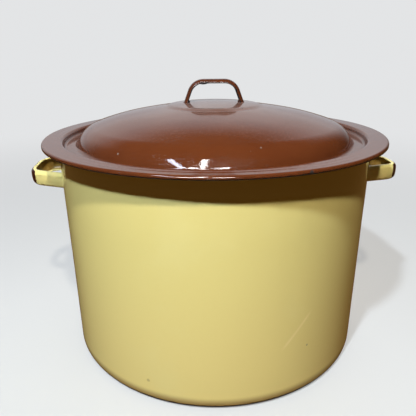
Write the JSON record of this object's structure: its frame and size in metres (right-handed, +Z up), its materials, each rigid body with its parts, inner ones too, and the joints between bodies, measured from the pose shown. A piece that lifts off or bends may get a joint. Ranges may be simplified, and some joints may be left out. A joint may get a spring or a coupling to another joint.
{
  "type": "stock pot",
  "caption": "Tall enamelled-steel cooking pot with a straight wall, strap side handles and a loose domed lid that lifts off.",
  "frame": {"origin": "centre of the base, on the surface the pot stands on", "axes": "+Z up along the pot's axis; the side handles and the lid handle lie along X; -Y is the front"},
  "size_m": [0.396, 0.35, 0.2785],
  "materials": {
    "pot_enamel": "gloss cream-yellow vitreous enamel on steel, white inside",
    "grip_enamel": "gloss cream-yellow enamel with a brown band round the outer end",
    "lid_enamel": "gloss red-brown vitreous enamel on steel, worn dark along the turned-down edge",
    "lid_handle_enamel": "gloss red-brown enamel with a dark chip under the grip"
  },
  "bodies": {
    "pot": {"pot_shell": "pot_enamel", "left_handle": "grip_enamel", "right_handle": "grip_enamel"},
    "lid": {"lid_shell": "lid_enamel", "lid_handle": "lid_handle_enamel"}
  },
  "joints": [
    {"name": "lid_lift", "type": "slide", "parent": "pot", "child": "lid", "axis": [0, 0, 1], "range_m": [0, 0.3]}
  ]
}
